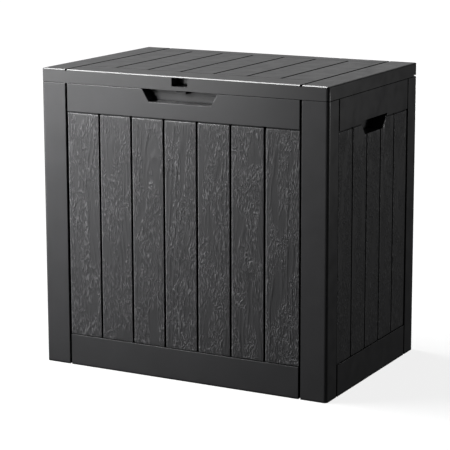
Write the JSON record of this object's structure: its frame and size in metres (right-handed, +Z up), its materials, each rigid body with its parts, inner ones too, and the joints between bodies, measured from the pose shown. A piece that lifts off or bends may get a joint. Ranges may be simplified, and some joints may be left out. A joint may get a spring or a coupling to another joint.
{
  "type": "deck storage box",
  "caption": "Upright resin deck storage box with plank-look panels between corner posts, a hinged plank-look lid with a lock window, a front finger pull and side hand holds.",
  "frame": {"origin": "on the ground, under the middle of the closed box", "axes": "+Z up, +X across the front to the right of someone facing the box, +Y from the front to the back, so the front faces -Y"},
  "size_m": [0.56, 0.376, 0.536],
  "materials": {
    "resin": "moulded satin, embossed wood grain on the boards",
    "lid_resin": "moulded satin",
    "inner_resin": "moulded matte",
    "nylon": "moulded satin",
    "zinc_steel": "zinc plated"
  },
  "bodies": {
    "box": {"front_panel": "resin", "pull_cup": "resin", "back_panel": "resin", "left_side_panel": "resin", "right_side_panel": "resin", "front_left_post": "resin", "front_right_post": "resin", "back_left_post": "resin", "back_right_post": "resin", "floor_panel": "inner_resin", "lock_tongue": "nylon", "post_screws": "zinc_steel", "floor_screws": "zinc_steel", "left_hinge_leaf": "zinc_steel", "right_hinge_leaf": "zinc_steel", "left_hinge_pin": "zinc_steel", "right_hinge_pin": "zinc_steel", "hinge_leaf_screws": "zinc_steel"},
    "lid": {"lid_shell": "lid_resin", "lid_liner": "inner_resin", "left_hinge_arm": "zinc_steel", "right_hinge_arm": "zinc_steel", "hinge_arm_screws": "zinc_steel", "liner_screws": "zinc_steel"}
  },
  "joints": [
    {"name": "lid_hinge", "type": "hinge", "parent": "box", "child": "lid", "pos_m": [0, 0.181, 0.5205], "axis": [-1, 0, 0], "range_deg": [0, 100]}
  ]
}
